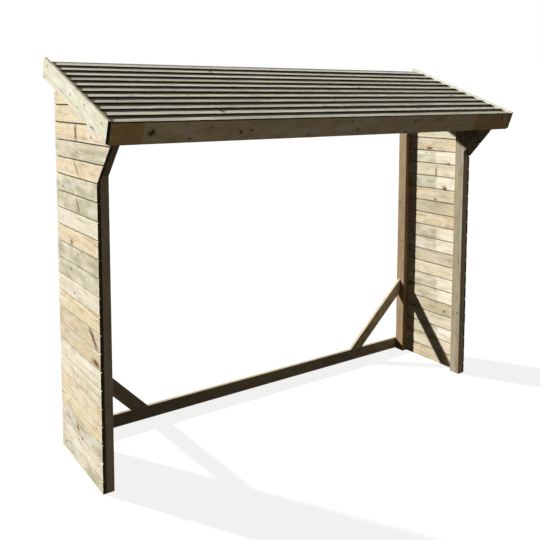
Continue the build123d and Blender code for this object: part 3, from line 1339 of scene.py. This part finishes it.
    def build_framing(self) -> None:
        """Put in the rafters, the trimmer behind them and the two bearers under them."""
        half = self.rafter_width / 2
        under, over = self.section.rafter_underside, self.section.slat_underside
        start = self.setback + self.trimmer_thickness
        reach = self.section.post_inner
        finish = ("roof_framing", self.framing)
        names = ("left_end_rafter", "left_middle_rafter", "right_middle_rafter", "right_end_rafter")
        for node, place in zip(names, self.rafter_places):
            low, high = (place - half, -self.fascia_back, under), (place + half, -start, over)
            self.plank(node, low, high, Grain(-ALONG_Y, ALONG_Z, ALONG_X * place), finish)
        grain = Grain(ALONG_X, ALONG_Z, Vector((0.0, -start, (under + over) / 2)))
        self.plank("rear_trimmer", (-reach, -start, under), (reach, -self.setback, over), grain, finish)
        bearers = {
            "front_header": (self.section.front, self.header_height),
            "rear_top_rail": (self.section.back - self.bearer_thickness, self.rail_height),
        }
        for node, (front, height) in bearers.items():
            base = self.slope.level(front, under) - height
            back = front + self.bearer_thickness
            top = (reach, back, self.slope.back_z)
            bearer = Bench.block(f"dressed_{node}", (-reach, front, base), top)
            self.slope.trim(bearer, under)
            Bench.ease(bearer, self.easing)
            middle = Vector((0.0, front, base + height / 2))
            Bench.mark(bearer, Grain(ALONG_X, ALONG_Z, middle), Character.draw(self.chance))
            stand_in([bearer], node, *finish)

    def build(self) -> None:
        """Build the whole roof."""
        self.build_slats()
        self.build_edges()
        self.build_framing()


@dataclass
class RearFrame:
    """The low rail across the back and the two braces that stand on it."""

    section: Section
    material: Material
    rail_foot: float = 0.004  # the level of the rail's underside
    rail_height: float = 0.071
    rail_thickness: float = 0.0212  # less the height of a nail head
    reach: float = 0.480  # from the wall's outer face to where a brace starts on the rail
    head: float = 0.507  # the level of a brace's highest corner
    width: float = 0.072  # the width of a brace
    thickness: float = 0.020  # its thickness
    head_inset: float = 0.014  # how far the back of its head is from the back of the post
    rail_shade: float = 0.92  # how dark the painted shade on the rail's front is at its left end
    rail_shade_fall: float = 0.35  # how much of that is lost from the left end to the middle
    brace_shade: float = 0.70  # how dark the painted shade on the left brace's front is
    easing: float = 0.0018
    chance: random.Random = stream(seed=41)

    def build_rail(self) -> None:
        """Shape the low rail, nailed across the backs of the posts."""
        span, back = self.section.post_outer, self.section.back
        node = "rear_bottom_rail"
        top = self.rail_foot + self.rail_height
        low, high = (-span, back, self.rail_foot), (span, back + self.rail_thickness, top)
        rail = Bench.block(f"dressed_{node}", low, high)
        Bench.ease(rail, self.easing)
        middle = Vector((0.0, back, (self.rail_foot + top) / 2))
        Bench.mark(rail, Grain(ALONG_X, ALONG_Z, middle), Character.draw(self.chance, Tone.CREAM))
        # Painted shade on the rail's front, darkest at its left end.
        fall = self.rail_shade_fall
        Bench.paint(
            rail,
            "damp",
            lambda at, facing: self.rail_shade * (facing.y < -FACING) * (1.0 - fall - fall * at.x / span),
        )
        stand_in([rail], node, "frame_timber", self.material)

    def build_brace(self, side: Side) -> None:
        """Shape one brace, whose head comes forward to the inner side of the post.

        Args:
            side: The end of the store.
        """
        sign, back = side.value, self.section.back
        foot_z = self.rail_foot + self.rail_height
        foot_x = self.section.half_span - self.reach
        run = self.section.post_inner - foot_x
        rise = self.head - foot_z
        slant = math.hypot(run, rise)
        low_foot_x = foot_x + self.width * slant / rise
        low_head = self.head - self.width * slant / run
        near, far = edges_of(sign * foot_x, sign * self.section.post_inner)
        node = f"{side.label}_rear_brace"
        low, high = (near, back, foot_z), (far, back + self.thickness, self.head)
        brace = Bench.block(f"dressed_{node}", low, high)
        above = Vector((-sign * rise, 0.0, run)).normalized()
        Bench.cut(brace, (sign * foot_x, back, foot_z), above)
        Bench.cut(brace, (sign * low_foot_x, back, foot_z), -above)
        lean = (self.head_inset + self.thickness) / rise
        for level in (low_head, self.head):
            Bench.nudge(
                brace,
                lambda at, level=level: abs(at.z - level) < NEAR,
                ALONG_Y * (-(level - foot_z) * lean),
            )
        Bench.ease(brace, self.easing)
        along = Vector((sign * run, 0.0, rise))
        middle = Vector((sign * (foot_x + low_foot_x) / 2, back, foot_z))
        Bench.mark(brace, Grain(along, above, middle), Character.draw(self.chance, Tone.CREAM))
        # Painted shade on the left brace's front.
        if side is Side.LEFT:
            Bench.paint(brace, "damp", lambda at, facing: self.brace_shade * (facing.y < -FACING))
        stand_in([brace], node, "frame_timber", self.material)

    def build(self) -> None:
        """Build the rail and both braces."""
        self.build_rail()
        for side in Side:
            self.build_brace(side)


@dataclass
class Nails:
    """The nails that hold the store together, seen as their heads."""

    walls: Walls
    posts: Posts
    roof: Roof
    rear: RearFrame
    material: Material
    sides: int = 12  # of the cylinder that a head starts from
    radius: float = 0.0026  # the radius of a head
    depth: float = 0.0012  # its whole depth
    proud: float = 0.0005  # how far it stands out of the wood
    dome: float = 0.4  # the share of its radius and of what stands out that its rim takes
    smooth: float = 50.0  # the bend, in degrees, up to which it is shaded smooth
    board_shares: Pair = (0.3, 0.7)  # how far up a board its nails are
    margin: float = 0.01  # how far from the ground and from a bargeboard they stay
    slat_share: float = 0.55  # how far down a slat they are
    barge_places: tuple[float, ...] = (0.06, 0.28, 0.52, 0.79)  # how far down a bargeboard
    barge_heights: Pair = (-0.028, -0.072)
    fascia_heights: Pair = (-0.036, -0.080)
    rail_levels: Pair = (0.024, 0.056)
    bracket_steps: Pair = (0.03, 0.12)  # how far along a bracket's slant

    def pattern(self) -> Timber:
        """Shape one nail head that faces up, its rim stepped in to a low dome.

        Returns:
            The head, with the surface of the wood at level 0.
        """
        rim = self.proud * (1.0 - self.dome)
        bpy.ops.object.select_all(action="DESELECT")
        bpy.ops.mesh.primitive_cylinder_add(
            vertices=self.sides,
            radius=self.radius,
            depth=self.depth,
            location=ALONG_Z * (rim - self.depth / 2),
        )
        head = bpy.context.active_object
        Bench.rename(head, "nail_pattern")
        Bench.settle(head)
        with Bench.editing(head, faces=lambda at, facing: facing.z > FACING):
            bpy.ops.mesh.inset(thickness=self.radius * self.dome)
            bpy.ops.transform.translate(value=ALONG_Z * (self.proud * self.dome))
        Bench.pick(head)
        bpy.ops.object.shade_smooth_by_angle(angle=math.radians(self.smooth))
        return head

    def drive(self, name: str, places: Iterator[tuple[Vector, Vector]]) -> None:
        """Set a group of nails as one piece.

        Args:
            name: The piece's name.
            places: Where each head sits and the way that it faces.
        """
        pattern = self.pattern()
        heads = [
            Bench.copy(pattern, f"{name}_{index}", place, facing.to_track_quat("Z", "Y"))
            for index, (place, facing) in enumerate(places)
        ]
        Bench.discard(pattern)
        Bench.join(name, heads, self.material)

    def wall_places(self, side: Side) -> Iterator[tuple[Vector, Vector]]:
        """Two nails through each board into each post.

        Args:
            side: The wall.

        Yields:
            The place and the facing of each head.
        """
        section, slope, walls = self.walls.section, self.walls.slope, self.walls
        half = section.post_depth / 2
        for number in range(1, walls.count + 1):
            for y in (section.front + half, section.back - half):
                top = slope.level(y, -self.roof.barge_width) - self.margin
                for share in self.board_shares:
                    z = walls.base(number) + walls.pitch * share
                    if self.margin < z < top:
                        yield Vector((side.value * section.half_span, y, z)), ALONG_X * side.value

    def roof_places(self) -> Iterator[tuple[Vector, Vector]]:
        """One nail through each slat into each rafter.

        Yields:
            The place and the facing of each head.
        """
        roof, slope = self.roof, self.roof.slope
        fall = (roof.lip_thickness - roof.tail_thickness) / (roof.slat_pitch - roof.clearance)
        reach = roof.slat_pitch * self.slat_share
        height = roof.section.slat_underside + roof.tail_thickness + (reach - roof.lap) * fall
        facing = (slope.up - slope.down * fall).normalized()
        for number in range(roof.count):
            along = roof.setback + number * roof.slat_pitch + reach
            for x in roof.rafter_places:
                yield slope.point(along, height) + ALONG_X * x, facing

    def edge_places(self) -> Iterator[tuple[Vector, Vector]]:
        """Pairs of nails through the bargeboards and the fascia.

        Yields:
            The place and the facing of each head.
        """
        roof, slope = self.roof, self.roof.slope
        outer = roof.section.barge_inner + roof.barge_thickness
        for side in Side:
            for along in self.barge_places:
                for height in self.barge_heights:
                    yield slope.point(along, height) + ALONG_X * (side.value * outer), ALONG_X * side.value
        for x in roof.rafter_places:
            for height in self.fascia_heights:
                yield slope.point(slope.length, height) + ALONG_X * x, slope.down

    def frame_places(self) -> Iterator[tuple[Vector, Vector]]:
        """The nails of the rail and of the brackets.

        Yields:
            The place and the facing of each head.
        """
        section, rear = self.rear.section, self.rear
        middle = (section.post_inner + section.post_outer) / 2
        along = ALONG_X.cross(section.lean_facing)
        for side in Side:
            for z in self.rail_levels:
                yield Vector((side.value * middle, section.back + rear.rail_thickness, z)), ALONG_Y
            foot = Vector((side.value * middle, section.front, section.lean_foot + self.posts.setback))
            for step in self.bracket_steps:
                yield foot + along * step, section.lean_facing

    def build(self) -> None:
        """Drive every nail."""
        for side in Side:
            self.drive(f"{side.label}_wall_nails", self.wall_places(side))
        self.drive("roof_nails", self.roof_places())
        self.drive("roof_edge_nails", self.edge_places())
        self.drive("frame_nails", self.frame_places())


@dataclass(frozen=True)
class Lamp:
    """One far lamp."""

    name: str
    travel: Triple  # the way that its light travels
    strength: float
    spread: float  # its apparent size, in degrees
    colour: Colour = WHITE

    def place(self) -> None:
        """Set up the lamp."""
        data = bpy.data.lights.new(self.name, "SUN")
        data.energy = self.strength
        data.angle = math.radians(self.spread)
        data.color = self.colour
        lamp = bpy.data.objects.new(self.name, data)
        lamp.rotation_mode = "QUATERNION"
        lamp.rotation_quaternion = Vector(self.travel).to_track_quat("-Z", "Y")
        bpy.context.scene.collection.objects.link(lamp)


@dataclass(frozen=True)
class Studio:
    """The camera, the lamps and the pale floor."""

    place: Triple = (-2.290, -2.961, 1.785)  # where the camera stands
    yaw: float = 34.01  # how far it is turned to the right of the store's depth, in degrees
    level: float = 90.0  # the turn at which a camera looks level, in degrees
    tilt: float = 5.08  # how far it looks down from there
    focal: float = 683.8 / 540  # the focal length, in widths of the picture
    sensor: float = 36.0  # the width of the sensor, in millimetres
    shift: Pair = (0.025, -0.21)  # how far the lens is shifted, in widths of the picture
    lamps: tuple[Lamp, ...] = (
        Lamp("main light", (1.0, -1.67, -0.94), 7.1, 2.0),
        Lamp("fill light", (-0.92, 0.36, -0.25), 1.15, 60.0, (1.0, 0.88, 0.70)),
    )
    sky: float = 0.028  # the strength of the even light from all round
    sky_colour: Colour = (1.0, 0.84, 0.70)
    bounce: float = 0.028  # the share of light that the floor gives back
    floor_size: float = 80.0
    floor_glow: float = 0.86  # the floor's own white, as the camera sees it
    floor_lift: float = 1.25  # how far past plain white the lamps may lift the lit floor

    def camera(self) -> None:
        """Set up the camera where the photograph was taken from."""
        data = bpy.data.cameras.new("camera")
        data.sensor_width = self.sensor
        data.lens = self.sensor * self.focal
        data.shift_x, data.shift_y = self.shift
        camera = bpy.data.objects.new("camera", data)
        camera.location = self.place
        camera.rotation_euler = (math.radians(self.level - self.tilt), 0.0, math.radians(-self.yaw))
        bpy.context.scene.collection.objects.link(camera)
        bpy.context.scene.camera = camera

    @staticmethod
    def seen_directly(net: Net) -> Value:
        """Tell the rays that look from those that only light.

        Args:
            net: The nodes that it is for.

        Returns:
            1 for rays that the camera, a gloss or a glass sends, and 0 for light.
        """
        camera = net.add("LightPath", output="Is Camera Ray")
        either = camera.maths("MAXIMUM", camera.beside("Is Glossy Ray"))
        return either.maths("MAXIMUM", camera.beside("Is Transmission Ray"))

    def backdrop(self) -> None:
        """Light the store evenly from all round and show plain white behind it."""
        net = Net(bpy.data.worlds.new("backdrop"), "World")
        even = net.add("Background", self.sky_colour, self.sky)
        white = net.add("Background", WHITE, 1.0)
        mixed = net.add("MixShader", self.seen_directly(net), even, white)
        bpy.context.scene.world = net.finish(mixed)

    def floor(self) -> None:
        """Lay the pale floor that keeps the store's shadow."""
        bpy.ops.object.select_all(action="DESELECT")
        bpy.ops.mesh.primitive_plane_add(size=self.floor_size)
        floor = bpy.context.active_object
        floor.name = "floor"
        net = Net(bpy.data.materials.new("pale floor"))
        seen = self.seen_directly(net)
        glow = net.add("Emission", named={"Strength": seen * self.floor_glow})
        lit = (1.0 - self.floor_glow) * self.floor_lift
        matt = net.add("BsdfDiffuse", net.blend(seen, (self.bounce,) * 3, (lit,) * 3))
        floor.data.materials.append(net.finish(net.add("AddShader", glow, matt)))

    def build(self) -> None:
        """Set up the whole studio."""
        bpy.context.scene.view_settings.view_transform = "Standard"
        self.camera()
        for lamp in self.lamps:
            lamp.place()
        self.backdrop()
        self.floor()
        LOG.info("the studio is set up")


WALL_WOOD = Finish(
    name="wall boards",
    cream=(0.90, 0.85, 0.68),
    peach=(0.92, 0.78, 0.53),
    moss=(0.65, 0.63, 0.44),
    ring_strength=0.6,
    knot_share=0.32,
    knot=(0.15, 0.085, 0.045),
    spike=0.0,
    halo=0.65,
    outer_shade_line=0.0395,
    inner_shade_line=0.0235,
)
FRAME_WOOD = Finish(
    name="frame timber",
    cream=(0.46, 0.38, 0.24),
    peach=(0.37, 0.22, 0.105),
    moss=(0.41, 0.38, 0.27),
    streak=(0.20, 0.12, 0.07),
    knot_share=0.25,
    bleach=0.12,
    mottle=(2.0, 75.0, 75.0),
    streak_strength=0.5,
    depth=0.25,
)
RAIL_WOOD = Finish(
    name="rail and braces",
    cream=(0.68, 0.59, 0.42),
    peach=(0.62, 0.48, 0.30),
    moss=(0.50, 0.45, 0.31),
    streak=(0.22, 0.14, 0.08),
    bleach=0.2,
    mottle=(3.0, 50.0, 50.0),
)
BARGE_WOOD = Finish(
    name="bargeboards",
    cream=(0.81, 0.81, 0.61),
    peach=(0.82, 0.75, 0.58),
    moss=(0.68, 0.69, 0.55),
    knot_share=0.25,
    speckle=0.5,
    knots=(
        Knot(0.697, -0.040, 0.022, 0.0035),
        Knot(0.791, 0.015, 0.006, 0.003),
        Knot(0.500, -0.021, 0.006, 0.003),
        Knot(0.580, 0.019, 0.007, 0.003),
        Knot(0.060, 0.023, 0.005, 0.004),
    ),
)
SLAT_WOOD = Finish(
    name="roof slats",
    cream=(0.86, 0.92, 0.80),
    peach=(0.80, 0.73, 0.55),
    moss=(0.66, 0.71, 0.62),
    streak=(0.46, 0.30, 0.12),
    streak_strength=0.85,
    streak_start=0.50,
    bleach=0.25,
    lap=(0.000, 0.75),
    saw_marks=0.8,
    roughness=0.8,
    depth=0.7,
)
FASCIA_WOOD = Finish(
    name="fascia",
    cream=(0.89, 0.80, 0.55),
    peach=(0.84, 0.66, 0.41),
    moss=(0.69, 0.65, 0.45),
    streak=(0.26, 0.17, 0.09),
    depth=0.2,
    knots=(
        Knot(-1.083, 0.003, 0.012, 0.012),
        Knot(-0.906, -0.028, 0.005, 0.005),
        Knot(-0.801, 0.018, 0.005, 0.005),
        Knot(-0.589, 0.001, 0.006, 0.006),
        Knot(-0.254, -0.033, 0.005, 0.005),
        Knot(0.003, 0.032, 0.006, 0.005),
        Knot(0.057, -0.014, 0.005, 0.005),
        Knot(0.457, 0.018, 0.006, 0.006),
    ),
    brown_ends=(-1.124, 0.945),
)
FRAMING_WOOD = Finish(
    name="roof framing",
    bleach=0.15,
    cream=(0.50, 0.42, 0.29),
    peach=(0.48, 0.36, 0.22),
    moss=(0.38, 0.35, 0.25),
)


def main() -> None:
    """Build the store's pieces in order, then the studio around them."""
    logging.basicConfig(level=logging.INFO, format="%(name)s: %(message)s")
    section = Section()
    slope = Slope()
    walls = Walls(section, slope, WALL_WOOD.material())
    posts = Posts(section, slope, FRAME_WOOD.material())
    roof_finishes = (SLAT_WOOD, BARGE_WOOD, FASCIA_WOOD, FRAMING_WOOD)
    roof = Roof(section, slope, *(finish.material() for finish in roof_finishes))
    rear = RearFrame(section, RAIL_WOOD.material())
    nails = Nails(walls, posts, roof, rear, Zinc().material())
    for group in (walls, posts, roof, rear, nails, Studio()):
        group.build()


if __name__ == "__main__":
    main()
